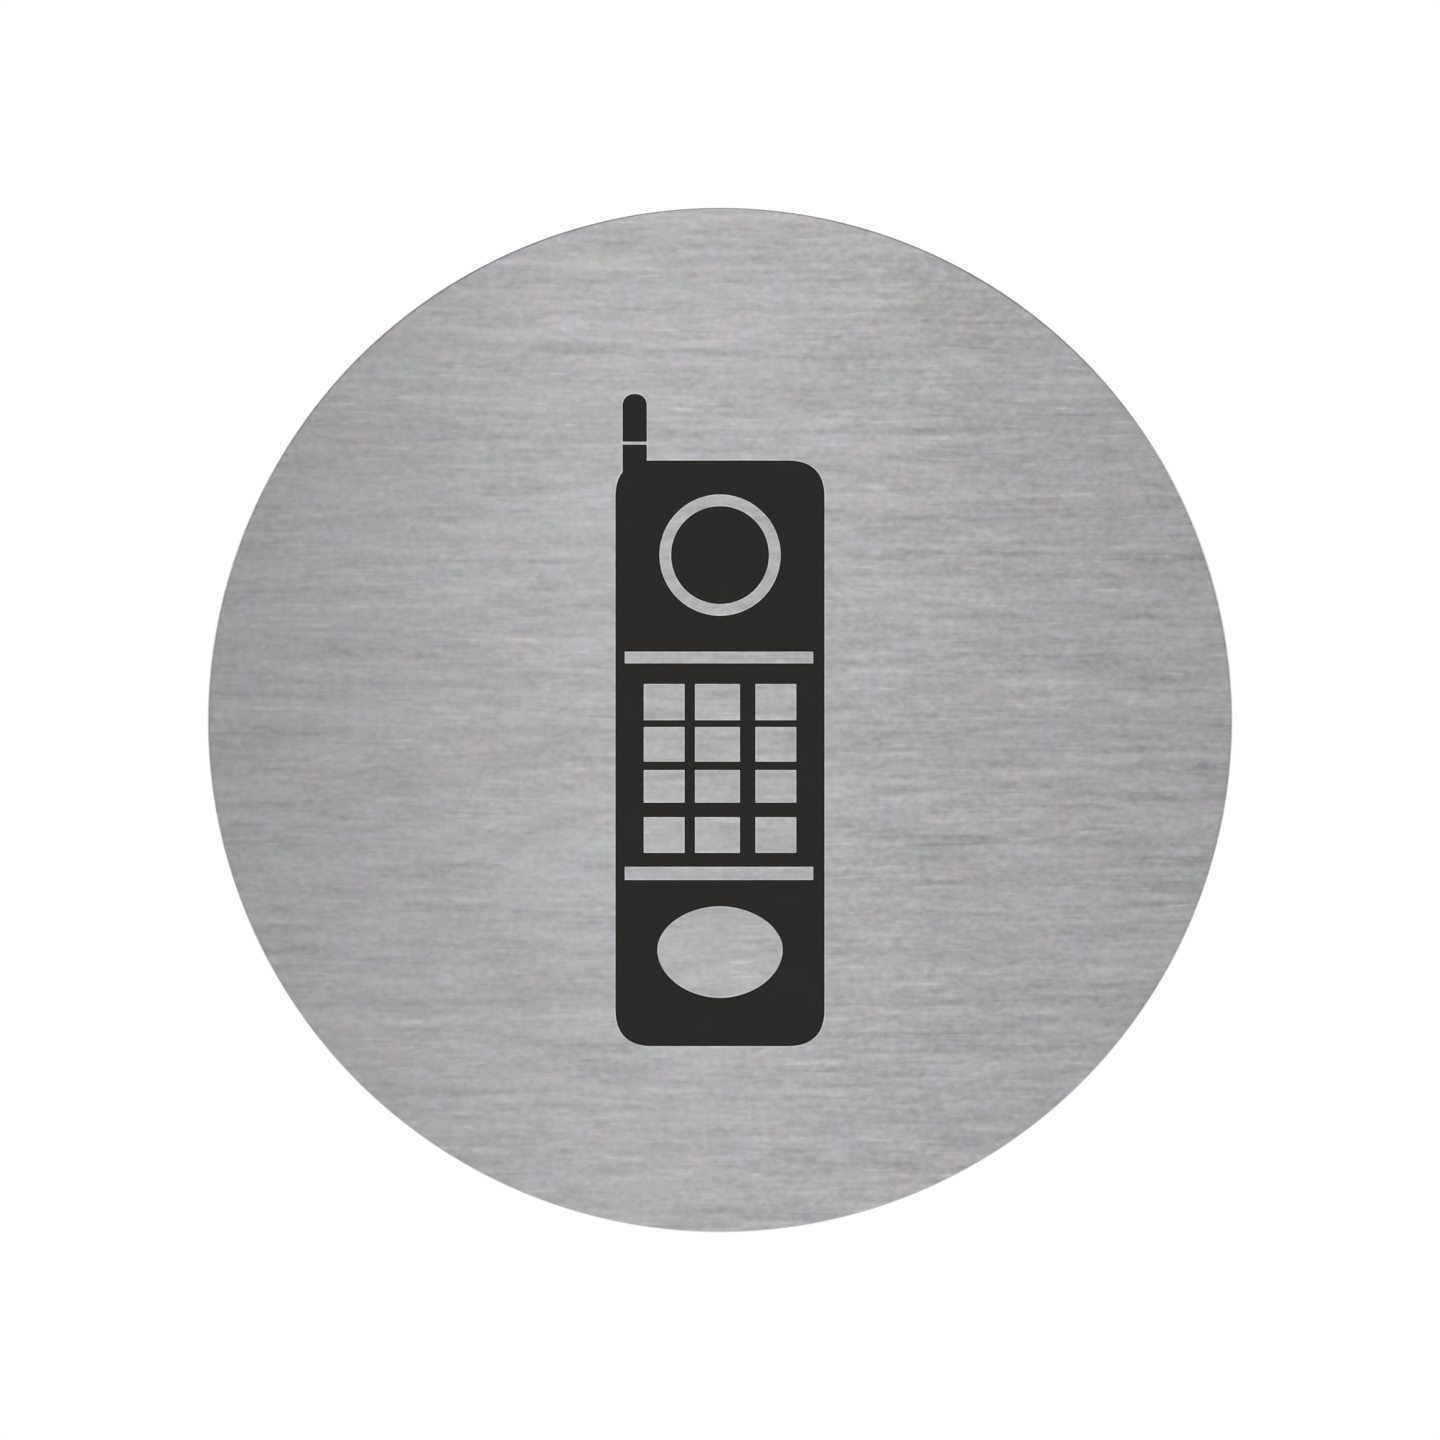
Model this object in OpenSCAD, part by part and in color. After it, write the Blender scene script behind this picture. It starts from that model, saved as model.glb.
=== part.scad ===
// A round door sign for a telephone, as stuck to a door: a brushed steel disc whose
// handset symbol is etched into the face and filled with black enamel, held by a foam pad.
// The back of the pad lies on the door, in the plane y = 0 and centred on the origin.
// The face looks along -Y, up is +Z, and +X is to the reader's right.

/* [Disc] */
// Diameter of the steel disc
disc_d = 100; // [76:1:150]
// Thickness of the steel disc
disc_t = 1.5; // [1:0.1:3]
// Radius to which the disc's two sharp edges are broken
edge_r = 0.15; // [0.05:0.05:0.4]

/* [Foam pad] */
// Width of bare steel around the pad on the back of the disc
pad_margin = 5; // [2:0.5:15]
// Thickness of the pad
pad_t = 0.8; // [0.4:0.1:2]

/* [Etching and enamel] */
// Depth of the etched symbol below the face of the disc
etch_depth = 0.25; // [0.15:0.05:0.5]
// Height that the enamel stays below the face of the disc
enamel_drop = 0.03; // [0.01:0.01:0.1]

/* [Handset] */
// Radius of the handset's four corners
corner_r = 3.1; // [1.5:0.05:4.5]
// Enamel from the top of the handset to the earpiece ring
top_margin = 3.3; // [2:0.05:6]
// Enamel from the mouthpiece to the bottom of the handset
bottom_margin = 4.7; // [2:0.05:6]

/* [Antenna] */
// Distance of the antenna from the handset's left side
antenna_inset = 0.7; // [0.3:0.05:6]
// Width of the antenna
antenna_w = 2.35; // [1.5:0.05:3.5]
// Height of the antenna's lower piece above the handset
antenna_stub_h = 1.55; // [0.5:0.05:3]
// Line of steel between the antenna's two pieces
antenna_gap = 0.3; // [0.2:0.05:1]
// Height of the antenna's upper piece
antenna_tip_h = 4.65; // [3.5:0.05:7]
// Radius of the corners at the antenna's tip
antenna_tip_r = 1.1; // [0.3:0.05:1.7]

/* [Earpiece] */
// Outer diameter of the steel ring
ring_d = 11.85; // [8:0.05:14]
// Width of the ring's line
ring_line = 1.15; // [0.5:0.05:2.5]
// Enamel from the ring to the upper bar
ring_to_bar = 3.5; // [1:0.05:6]

/* [Bars above and below the keys] */
// Height of the upper bar
upper_bar_h = 1.15; // [0.5:0.05:2.5]
// Height of the lower bar
lower_bar_h = 1.3; // [0.5:0.05:2.5]
// Enamel left of the bars
bar_margin_left = 0.9; // [0.5:0.05:4]
// Enamel right of the bars
bar_margin_right = 1.1; // [0.5:0.05:4]
// Enamel from the upper bar to the keys
bar_to_keys = 2; // [0.5:0.05:4]
// Enamel from the keys to the lower bar
keys_to_bar = 1.35; // [0.5:0.05:4]

/* [Keys] */
// Enamel left and right of the block of keys
key_margin = 2.75; // [1:0.05:5]
// Widths of the three columns, from the left
column_w = [4, 4.4, 4]; // [3:0.05:5]
// Gaps between the columns, from the left
column_gap = [1, 1.5]; // [0.4:0.05:2.5]
// Heights of the four rows, from the top
row_h = [3.55, 3.4, 3.2, 3.5]; // [2.5:0.05:4.5]
// Gaps between the rows, from the top
row_gap = [0.65, 0.8, 1.4]; // [0.4:0.05:2.5]

/* [Mouthpiece] */
// Enamel from the lower bar to the mouthpiece
bar_to_mouth = 2.55; // [1:0.05:5]
// Width of the mouthpiece
mouth_w = 12.25; // [8:0.05:15]
// Height of the mouthpiece above its widest level
mouth_rise = 4.25; // [2.5:0.05:6]
// Depth of the mouthpiece below its widest level
mouth_drop = 4.7; // [2.5:0.05:6]

/* [Hidden] */
$fn = 180;

// Length by which a cutter runs past what it cuts
over = 1;
// Shortest flat left between the two corners at the antenna's tip
least_flat = 0.1;

// Heights above the door
disc_back = pad_t;
disc_face = disc_back + disc_t;
etch_floor = disc_face - etch_depth;
enamel_face = disc_face - enamel_drop;

// The first n items of a list, added up
function total(list, n) = n == 0 ? 0 : list[n - 1] + total(list, n - 1);

// Places across the handset, from its left side
columns = len(column_w);
function column_x(i) = key_margin + total(column_w, i) + total(column_gap, i);
handset_w = column_x(columns - 1) + column_w[columns - 1] + key_margin;
bar_w = handset_w - bar_margin_left - bar_margin_right;

// Places down the handset, from its top
rows = len(row_h);
ring_y = top_margin + ring_d / 2;
upper_bar_y = top_margin + ring_d + ring_to_bar;
keys_y = upper_bar_y + upper_bar_h + bar_to_keys;
function row_y(i) = keys_y + total(row_h, i) + total(row_gap, i);
lower_bar_y = row_y(rows - 1) + row_h[rows - 1] + keys_to_bar;
mouth_y = lower_bar_y + lower_bar_h + bar_to_mouth + mouth_rise;
handset_h = mouth_y + mouth_drop + bottom_margin;

// The symbol, antenna included, is centred on the disc by its height
antenna_h = antenna_stub_h + antenna_gap + antenna_tip_h;
handset_top = (handset_h + antenna_h) / 2 - antenna_h;
tip_r = min(antenna_tip_r, (antenna_w - least_flat) / 2);

// Moves a shape drawn from the handset's top left corner to its place on the disc
module on_disc() {
    translate([-handset_w / 2, handset_top]) children();
}

// A rectangle by its left side, its depth below the handset's top and its size
module panel(x, y, w, h) {
    translate([x, -y - h]) square([w, h]);
}

// A rectangle with round corners, placed in the same way
module round_panel(x, y, w, h, r) {
    panel(x + r, y, w - 2 * r, h);
    panel(x, y + r, w, h - 2 * r);
    for (cx = [x + r, x + w - r], cy = [y + r, y + h - r])
        translate([cx, -cy]) circle(r = r);
}

// Half of an oval, above its widest level or, turned over, below it
module half_oval(w, h) {
    intersection() {
        scale([w / 2, h]) circle(r = 1);
        translate([-w / 2, 0]) square([w, h]);
    }
}

module mouthpiece() {
    translate([handset_w / 2, -mouth_y]) {
        half_oval(mouth_w, mouth_rise);
        mirror([0, 1]) half_oval(mouth_w, mouth_drop);
    }
}

module key_block() {
    for (i = [0 : columns - 1], j = [0 : rows - 1])
        panel(column_x(i), row_y(j), column_w[i], row_h[j]);
}

module bars() {
    panel(bar_margin_left, upper_bar_y, bar_w, upper_bar_h);
    panel(bar_margin_left, lower_bar_y, bar_w, lower_bar_h);
}

// The handset with the antenna's lower piece, less the windows where steel shows
module handset_outline() {
    on_disc() difference() {
        union() {
            round_panel(0, 0, handset_w, handset_h, corner_r);
            panel(antenna_inset, -antenna_stub_h, antenna_w, antenna_stub_h + corner_r);
        }
        translate([handset_w / 2, -ring_y]) circle(d = ring_d);
        bars();
        key_block();
        mouthpiece();
    }
}

// The antenna's upper piece: square below and round at the tip
module antenna_tip_outline() {
    on_disc() {
        round_panel(antenna_inset, -antenna_h, antenna_w, antenna_tip_h, tip_r);
        panel(antenna_inset, tip_r - antenna_h, antenna_w, antenna_tip_h - tip_r);
    }
}

// The earpiece: what the steel ring encloses
module earpiece_outline() {
    on_disc() translate([handset_w / 2, -ring_y]) circle(d = ring_d - 2 * ring_line);
}

// Stands a flat outline up against the door, between two heights above it
module layer(from, to) {
    rotate([90, 0, 0]) translate([0, 0, from]) linear_extrude(to - from) children();
}

// Half of the disc's section, with its outer edges broken
module disc_section() {
    rim = disc_d / 2;
    square([rim - edge_r, disc_t]);
    translate([0, edge_r]) square([rim, disc_t - 2 * edge_r]);
    for (y = [edge_r, disc_t - edge_r])
        translate([rim - edge_r, y]) circle(r = edge_r);
}

// The etched face leaves bars, ring, keys and mouthpiece standing as islands of steel
module disc() {
    color("silver") difference() {
        rotate([90, 0, 0]) translate([0, 0, disc_back]) rotate_extrude() disc_section();
        layer(etch_floor, disc_face + over) handset_outline();
        layer(etch_floor, disc_face + over) antenna_tip_outline();
        layer(etch_floor, disc_face + over) earpiece_outline();
    }
}

module handset_enamel() {
    color([0.17, 0.17, 0.16]) layer(etch_floor, enamel_face) handset_outline();
}

module antenna_tip_enamel() {
    color([0.17, 0.17, 0.16]) layer(etch_floor, enamel_face) antenna_tip_outline();
}

module earpiece_enamel() {
    color([0.17, 0.17, 0.16]) layer(etch_floor, enamel_face) earpiece_outline();
}

module foam_pad() {
    color("gainsboro") layer(0, pad_t) circle(d = disc_d - 2 * pad_margin);
}

disc();
handset_enamel();
antenna_tip_enamel();
earpiece_enamel();
foam_pad();
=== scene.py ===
from math import pi, radians
from types import SimpleNamespace

import bpy
from bpy.props import FloatProperty, FloatVectorProperty, IntProperty, PointerProperty
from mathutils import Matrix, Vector


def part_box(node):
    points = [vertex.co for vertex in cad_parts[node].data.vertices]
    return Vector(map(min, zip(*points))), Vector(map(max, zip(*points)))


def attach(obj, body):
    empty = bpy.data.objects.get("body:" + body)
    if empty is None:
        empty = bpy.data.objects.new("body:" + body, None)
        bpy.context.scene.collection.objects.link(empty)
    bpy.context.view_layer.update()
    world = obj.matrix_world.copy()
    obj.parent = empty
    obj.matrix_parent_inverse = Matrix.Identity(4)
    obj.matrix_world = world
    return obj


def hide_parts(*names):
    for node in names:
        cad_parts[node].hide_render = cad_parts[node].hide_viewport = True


bl_info = {
    "name": "Telephone Door Sign",
    "version": (1, 0, 0),
    "blender": (4, 5, 0),
    "location": "3D View > Sidebar > Door Sign",
    "description": "Dresses a round steel door sign with its brushed face, black enamel and foam pad",
    "category": "Object",
}

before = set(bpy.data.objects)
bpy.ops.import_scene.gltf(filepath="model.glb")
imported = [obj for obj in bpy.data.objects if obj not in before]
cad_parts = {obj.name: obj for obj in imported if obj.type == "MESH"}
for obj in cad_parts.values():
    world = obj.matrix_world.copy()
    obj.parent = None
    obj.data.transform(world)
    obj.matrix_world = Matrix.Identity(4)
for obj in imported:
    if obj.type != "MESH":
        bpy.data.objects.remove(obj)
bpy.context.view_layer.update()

MM = 0.001
# Pieces are modelled with one unit to the millimetre, so that fine bevels keep their precision
UNITS = 1000.0
# Places as near to each other as this, in millimetres, count as one
TOUCH = 0.001
# How far the sums of rounded sizes may miss the frame, in millimetres
LEEWAY = 0.01
# How far a cutter runs past what it cuts, in millimetres
CLEAR = 1.0
# A face lies flat to the door where its normal's y passes FLAT, and stands square to it below UPRIGHT
FLAT = 0.9
UPRIGHT = 0.1

# The slots of the disc's materials; the second holds a lighter copy of the brushed face, a painted highlight
# along the etching
BRUSHED, PAINTED_HIGHLIGHT, BROKEN, BACK, WALL = range(5)
# Width of the band along the rim that the symbol stays clear of, in millimetres
RIM_BAND = 1.0
# How far a facet of a rounded edge lies below the face and still shows the brushing, in millimetres
BRUSHED_DEPTH = 0.01
# The enamel falls from its rim in two steps, steep and then gentle: their shares of the rim's width
MENISCUS_SHARES = (0.35, 0.65)
# The UV map that gives the grain its direction, and the width that it spans, in millimetres
GRAIN_MAP = "grain"
MAP_WIDTH = 200.0
# The way in which noises are shifted apart, so that no two share their grains
SHIFT_WAY = (1.0, 0.7, 1.3)
# The y of the directions between which the room's mirrored light passes from its front to its back level
FRONT_TO_BACK = (-0.3, 0.3)


class SignSizes(bpy.types.PropertyGroup):
    """Sizes that the frame's boxes don't give, in metres."""

    rim_radius: FloatProperty(
        name="Rim Radius", description="Radius to which the disc's edges are broken",
        default=0.15 * MM, min=0.01 * MM, unit="LENGTH", precision=5)
    etched_edge: FloatProperty(
        name="Etched Edge", description="Width of the soft edge around the etched symbol",
        default=0.025 * MM, min=0.005 * MM, unit="LENGTH", precision=5)
    # A strip of painted highlight: the brushed steel painted lighter along the etched symbol
    burnish: FloatProperty(
        name="Painted Highlight Width", description="Width of the steel given a painted highlight around the etched symbol",
        default=0.11 * MM, min=0.01 * MM, unit="LENGTH", precision=5)
    corner_reach: FloatProperty(
        name="Corner Reach", description="How far the handset's corners reach along its sides",
        default=3.8 * MM, min=0.1 * MM, unit="LENGTH", precision=5)
    corner_fullness: FloatProperty(
        name="Corner Fullness", description="Form of the corners: 0.5 is an arc, and more runs out gently",
        default=0.583, min=0.3, max=0.9)
    antenna_stub: FloatProperty(
        name="Antenna Stub", description="Height of the antenna's lower piece above the handset",
        default=1.55 * MM, min=0.1 * MM, unit="LENGTH", precision=5)
    antenna_tip_radius: FloatProperty(
        name="Antenna Tip Radius", description="Radius of the corners at the antenna's tip",
        default=1.1 * MM, min=0.1 * MM, unit="LENGTH", precision=5)
    ring_line: FloatProperty(
        name="Ring Line", description="Width of the steel ring around the earpiece",
        default=1.15 * MM, min=0.1 * MM, unit="LENGTH", precision=5)
    ring_to_bar: FloatProperty(
        name="Ring to Bar", description="Enamel from the ring to the upper bar",
        default=3.5 * MM, min=0.1 * MM, unit="LENGTH", precision=5)
    bar_heights: FloatVectorProperty(
        name="Bar Heights", description="Heights of the upper and the lower bar",
        default=(1.15 * MM, 1.3 * MM), size=2, unit="LENGTH", precision=5)
    bar_margins: FloatVectorProperty(
        name="Bar Margins", description="Enamel left and right of the bars",
        default=(0.9 * MM, 1.1 * MM), size=2, unit="LENGTH", precision=5)
    bar_to_keys: FloatProperty(
        name="Bar to Keys", description="Enamel from the upper bar to the keys",
        default=2.0 * MM, min=0.1 * MM, unit="LENGTH", precision=5)
    keys_to_bar: FloatProperty(
        name="Keys to Bar", description="Enamel from the keys to the lower bar",
        default=1.35 * MM, min=0.1 * MM, unit="LENGTH", precision=5)
    key_margin: FloatProperty(
        name="Key Margin", description="Enamel left and right of the block of keys",
        default=2.75 * MM, min=0.1 * MM, unit="LENGTH", precision=5)
    column_widths: FloatVectorProperty(
        name="Column Widths", description="Widths of the columns of keys, from the left",
        default=(4.0 * MM, 4.4 * MM, 4.0 * MM), size=3, unit="LENGTH", precision=5)
    column_gaps: FloatVectorProperty(
        name="Column Gaps", description="Gaps between the columns, from the left",
        default=(1.0 * MM, 1.5 * MM), size=2, unit="LENGTH", precision=5)
    row_heights: FloatVectorProperty(
        name="Row Heights", description="Heights of the rows of keys, from the top",
        default=(3.55 * MM, 3.4 * MM, 3.2 * MM, 3.5 * MM), size=4, unit="LENGTH", precision=5)
    row_gaps: FloatVectorProperty(
        name="Row Gaps", description="Gaps between the rows, from the top",
        default=(0.65 * MM, 0.8 * MM, 1.4 * MM), size=3, unit="LENGTH", precision=5)
    bar_to_mouth: FloatProperty(
        name="Bar to Mouthpiece", description="Enamel from the lower bar to the mouthpiece",
        default=2.55 * MM, min=0.1 * MM, unit="LENGTH", precision=5)
    mouth_width: FloatProperty(
        name="Mouthpiece Width", description="Width of the mouthpiece",
        default=12.25 * MM, min=0.1 * MM, unit="LENGTH", precision=5)
    mouth_heights: FloatVectorProperty(
        name="Mouthpiece Heights", description="Height above and depth below its widest level",
        default=(4.25 * MM, 4.7 * MM), size=2, unit="LENGTH", precision=5)
    mouth_fullness: FloatProperty(
        name="Mouthpiece Fullness", description="Form of its sides: 0.5 is an ellipse, and less is leaner",
        default=0.488, min=0.3, max=0.9)
    bottom_margin: FloatProperty(
        name="Bottom Margin", description="Enamel from the mouthpiece to the bottom of the handset",
        default=4.7 * MM, min=0.1 * MM, unit="LENGTH", precision=5)
    meniscus_width: FloatProperty(
        name="Meniscus Width", description="Width of the rim of enamel that climbs the etched wall",
        default=0.12 * MM, min=0.01 * MM, unit="LENGTH", precision=5)
    meniscus_height: FloatProperty(
        name="Meniscus Height", description="Height of that rim above the enamel's level",
        default=0.015 * MM, min=0.001 * MM, unit="LENGTH", precision=5)
    pad_edge: FloatProperty(
        name="Pad Edge", description="Radius of the foam pad's cut edges",
        default=0.08 * MM, min=0.01 * MM, unit="LENGTH", precision=5)
    pad_waist: FloatProperty(
        name="Pad Waist", description="Depth to which the foam's cut side draws in",
        default=0.1 * MM, min=0.0, unit="LENGTH", precision=5)
    circle_steps: IntProperty(
        name="Circle Steps", description="Sides of the disc and of the pad", default=384, min=32)
    ring_steps: IntProperty(
        name="Ring Steps", description="Sides of the earpiece and of its ring", default=192, min=32)
    corner_steps: IntProperty(
        name="Corner Steps", description="Sides of a corner of the handset or a quarter of the mouthpiece",
        default=32, min=4)
    tip_steps: IntProperty(
        name="Tip Steps", description="Sides of a corner at the antenna's tip", default=24, min=4)


class SignFinish(bpy.types.PropertyGroup):
    """Colours and strengths of the sign's finishes."""

    steel: FloatVectorProperty(
        name="Steel", description="Colour of the brushed face", subtype="COLOR",
        default=(0.435, 0.4297, 0.4378), size=3, min=0.0, max=1.0)
    steel_roughness: FloatProperty(
        name="Steel Roughness", description="Roughness of the brushed face", subtype="FACTOR",
        default=0.345, min=0.0, max=1.0)
    grain_contrast: FloatVectorProperty(
        name="Grain Contrast", description="How far the grain lightens and darkens the left and right half",
        default=(0.355, 0.458), size=2, min=0.0, max=1.0)
    grain_ends: FloatVectorProperty(
        name="Grain Ends", description="Places across the disc between which the grain's contrast changes",
        default=(-8 * MM, 20 * MM), size=2, unit="LENGTH", precision=5)
    glint_strength: FloatProperty(
        name="Glint Strength", description="Weight of the bright glints in the grain",
        default=2.8, min=0.0)
    scratch_strength: FloatProperty(
        name="Scratch Strength", description="Weight of the dark scratches in the grain",
        default=1.6, min=0.0)
    streak_gloss: FloatProperty(
        name="Streak Gloss", description="How much smoother the light streaks are", subtype="FACTOR",
        default=0.015, min=0.0, max=0.1)
    warmth: FloatProperty(
        name="Warmth", description="How warm and cool the face turns in patches", subtype="FACTOR",
        default=0.04, min=0.0, max=0.2)
    blush: FloatProperty(
        name="Blush", description="How pink and green the face turns in patches", subtype="FACTOR",
        default=0.028, min=0.0, max=0.2)
    # Painted highlight: how much lighter the brushed steel is painted along the etched symbol
    painted_highlight_gain: FloatProperty(
        name="Painted Highlight Gain", description="How much lighter than the face the painted highlight strip is",
        default=1.3, min=1.0, max=2.0)
    enamel: FloatVectorProperty(
        name="Enamel", description="Colour of the black enamel", subtype="COLOR",
        default=(0.0134, 0.0126, 0.0106), size=3, min=0.0, max=1.0)
    foam: FloatVectorProperty(
        name="Foam", description="Colour of the foam pad", subtype="COLOR",
        default=(0.62, 0.62, 0.6), size=3, min=0.0, max=1.0)


class StageSettings(bpy.types.PropertyGroup):
    """Places and levels of the camera, the lamps and the floor."""

    lens: FloatProperty(
        name="Lens", description="Focal length of the camera, in millimetres",
        default=200.0, min=10.0)
    sensor_width: FloatProperty(
        name="Sensor Width", description="Width of the camera's sensor, in millimetres",
        default=36.0, min=1.0)
    picture_width: FloatProperty(
        name="Picture Width", description="Width of the picture at the sign's face",
        default=140.55 * MM, min=10 * MM, unit="LENGTH", precision=5)
    room_level: FloatProperty(
        name="Room Level", description="Light that the room gives to matt surfaces",
        default=0.7, min=0.0)
    front_level: FloatProperty(
        name="Front Level", description="Light that metal mirrors from the room in front of the sign",
        default=0.27, min=0.0)
    floor_drop: FloatProperty(
        name="Floor Drop", description="Height of the sign's centre above the floor",
        default=0.6, min=0.1, unit="LENGTH")
    floor_size: FloatProperty(
        name="Floor Size", description="Width and depth of the floor",
        default=6.4, min=1.0, unit="LENGTH")
    floor_glow: FloatProperty(
        name="Floor Glow", description="Light of the floor's own, seen by the camera and in mirrors alone",
        default=0.4, min=0.0)
    band_place: FloatVectorProperty(
        name="Band Lamp", description="Place of the tall lamp that draws the band of light",
        default=(-0.0175, -1.3, 0.6), size=3, unit="LENGTH")
    band_size: FloatVectorProperty(
        name="Band Lamp Size", description="Width and height of the tall lamp",
        default=(0.107, 1.3), size=2, unit="LENGTH")
    band_power: FloatProperty(
        name="Band Power", description="Power of the tall lamp",
        default=1.1, min=0.0, unit="POWER")
    fill_place: FloatVectorProperty(
        name="Fill Lamp", description="Place of the tall lamp that lifts the right half",
        default=(0.125, -1.3, 0.6), size=3, unit="LENGTH")
    fill_size: FloatVectorProperty(
        name="Fill Lamp Size", description="Width and height of the fill lamp",
        default=(0.05, 1.3), size=2, unit="LENGTH")
    fill_power: FloatProperty(
        name="Fill Power", description="Power of the fill lamp",
        default=0.305, min=0.0, unit="POWER")
    side_place: FloatVectorProperty(
        name="Side Lamp", description="Place of the right of two soft lamps; the left one mirrors it",
        default=(0.9, -0.6, 0.3), size=3, unit="LENGTH")
    side_power: FloatProperty(
        name="Side Power", description="Power of each soft lamp beside the sign",
        default=3.5, min=0.0, unit="POWER")
    back_place: FloatVectorProperty(
        name="Back Lamp", description="Place of the soft lamp behind the sign",
        default=(-0.5, 0.9, 0.2), size=3, unit="LENGTH")
    back_power: FloatProperty(
        name="Back Power", description="Power of the soft lamp behind the sign",
        default=1.5, min=0.0, unit="POWER")
    soft_size: FloatVectorProperty(
        name="Soft Lamp Size", description="Width and height of the side and back lamps",
        default=(0.5, 0.5), size=2, unit="LENGTH")


def in_mm(group):
    """A property group's values under the same names, with its lengths in millimetres."""
    sizes = {}
    for name in group.__annotations__:
        value = getattr(group, name)
        if group.bl_rna.properties[name].unit != "LENGTH":
            sizes[name] = value
        elif isinstance(value, float):
            sizes[name] = value * UNITS
        else:
            sizes[name] = [part * UNITS for part in value]
    return SimpleNamespace(**sizes)


def box_mm(node):
    """A CAD node's lowest and highest corners, in millimetres."""
    low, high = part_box(node)
    return low * UNITS, high * UNITS


# Modelling

def select_only(*pieces):
    """Selects these objects alone, the first one active, in object mode."""
    if bpy.context.object and bpy.context.object.mode != "OBJECT":
        bpy.ops.object.mode_set(mode="OBJECT")
    bpy.ops.object.select_all(action="DESELECT")
    for piece in pieces:
        piece.select_set(True)
    if pieces:
        bpy.context.view_layer.objects.active = pieces[0]


def apply_place(piece):
    """Moves an object's place, turn and scale into its mesh."""
    select_only(piece)
    bpy.ops.object.transform_apply(location=True, rotation=True, scale=True)
    return piece


def square_around(centre, half):
    """The left, bottom, right and top side of a square around a centre."""
    x, z = centre
    return x - half, z - half, x + half, z + half


def start_plate(name, left, bottom, right, top, depth, steps=0):
    """Adds a flat plate that faces the reader, between four sides: round where it is given steps."""
    select_only()
    place = {"location": ((left + right) / 2, depth, (bottom + top) / 2), "rotation": (pi / 2, 0, 0)}
    if steps:
        bpy.ops.mesh.primitive_circle_add(vertices=steps, radius=0.5, fill_type="NGON", **place)
    else:
        bpy.ops.mesh.primitive_plane_add(size=1, **place)
    piece = bpy.context.object
    piece.name = name
    piece.scale = (right - left, top - bottom, 1)
    return apply_place(piece)


def ends(piece, edge):
    """The places of an edge's two ends."""
    return [piece.data.vertices[index].co for index in edge.vertices]


def lies_at(piece, edge, depth):
    """Whether an edge lies at this depth."""
    return all(abs(end.y - depth) < TOUCH for end in ends(piece, edge))


def select_where(piece, kind, test):
    """Enters edit mode with only the vertices, edges or faces selected that pass the test."""
    select_only(piece)
    bpy.ops.object.mode_set(mode="EDIT")
    bpy.ops.mesh.select_mode(type={"vertices": "VERT", "edges": "EDGE", "polygons": "FACE"}[kind])
    bpy.ops.mesh.select_all(action="DESELECT")
    bpy.ops.object.mode_set(mode="OBJECT")
    for element in getattr(piece.data, kind):
        element.select = test(element)
    bpy.ops.object.mode_set(mode="EDIT")


def all_selected(piece):
    """Enters edit mode with the whole mesh selected."""
    select_only(piece)
    bpy.ops.object.mode_set(mode="EDIT")
    bpy.ops.mesh.select_all(action="SELECT")


def thicken(piece, depth):
    """Extrudes a flat plate through its depth into a closed block."""
    all_selected(piece)
    bpy.ops.mesh.extrude_region_move(TRANSFORM_OT_translate={"value": (0, depth, 0)})
    bpy.ops.mesh.select_all(action="SELECT")
    bpy.ops.mesh.normals_make_consistent(inside=False)
    bpy.ops.object.mode_set(mode="OBJECT")
    return piece


def round_corners(piece, reach, steps, fullness=0.5, test=lambda vertex: True):
    """Rounds the corners of a flat plate that pass the test; a fullness of 0.5 makes arcs."""
    select_where(piece, "vertices", test)
    bpy.ops.mesh.bevel(
        offset_type="OFFSET", offset=reach, segments=steps, profile=fullness,
        affect="VERTICES", clamp_overlap=False)
    bpy.ops.object.mode_set(mode="OBJECT")


def round_edges(piece, levels, radius, steps):
    """Rounds the edges of a block that lie at these depths."""
    select_where(piece, "edges", lambda edge: any(lies_at(piece, edge, level) for level in levels))
    bpy.ops.mesh.bevel(offset=radius, segments=steps, affect="EDGES")
    bpy.ops.object.mode_set(mode="OBJECT")


def inset_faces(piece, test, rims):
    """Insets the faces that pass the test, once for each rim, given by its width and how far it falls."""
    extent = piece.dimensions.copy()
    select_where(piece, "polygons", test)
    for width, fall in rims:
        bpy.ops.mesh.inset(thickness=width, depth=-fall, use_boundary=True, use_even_offset=True)
    bpy.ops.object.mode_set(mode="OBJECT")
    if (piece.dimensions - extent).length > TOUCH:
        raise RuntimeError(f"a rim of {piece.name} left its outline")


def join(*pieces):
    """Joins pieces that don't touch into the first one."""
    select_only(*pieces)
    bpy.ops.object.join()
    return pieces[0]


def cut(piece, tool):
    """Cuts the tool from the piece and removes the tool."""
    select_only(piece)
    bpy.ops.object.modifier_add(type="BOOLEAN")
    modifier = piece.modifiers[-1]
    modifier.solver = "EXACT"
    modifier.operation = "DIFFERENCE"
    modifier.object = tool
    bpy.ops.object.modifier_apply(modifier=modifier.name)
    bpy.data.objects.remove(tool)
    return piece


def merge_flats(piece):
    """Merges doubled corners and the faces that lie in one plane."""
    all_selected(piece)
    bpy.ops.mesh.remove_doubles(threshold=0.0005)
    bpy.ops.mesh.dissolve_limited(angle_limit=radians(0.05))
    bpy.ops.object.mode_set(mode="OBJECT")
    return piece


def smooth(piece, angle=35):
    """Shades the edges smooth where faces meet at less than this angle in degrees, and keeps faces flat."""
    select_only(piece)
    bpy.ops.object.shade_smooth_by_angle(angle=radians(angle))
    bpy.ops.object.modifier_add(type="WEIGHTED_NORMAL")
    modifier = piece.modifiers[-1]
    modifier.keep_sharp = True
    bpy.ops.object.modifier_apply(modifier=modifier.name)


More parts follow.
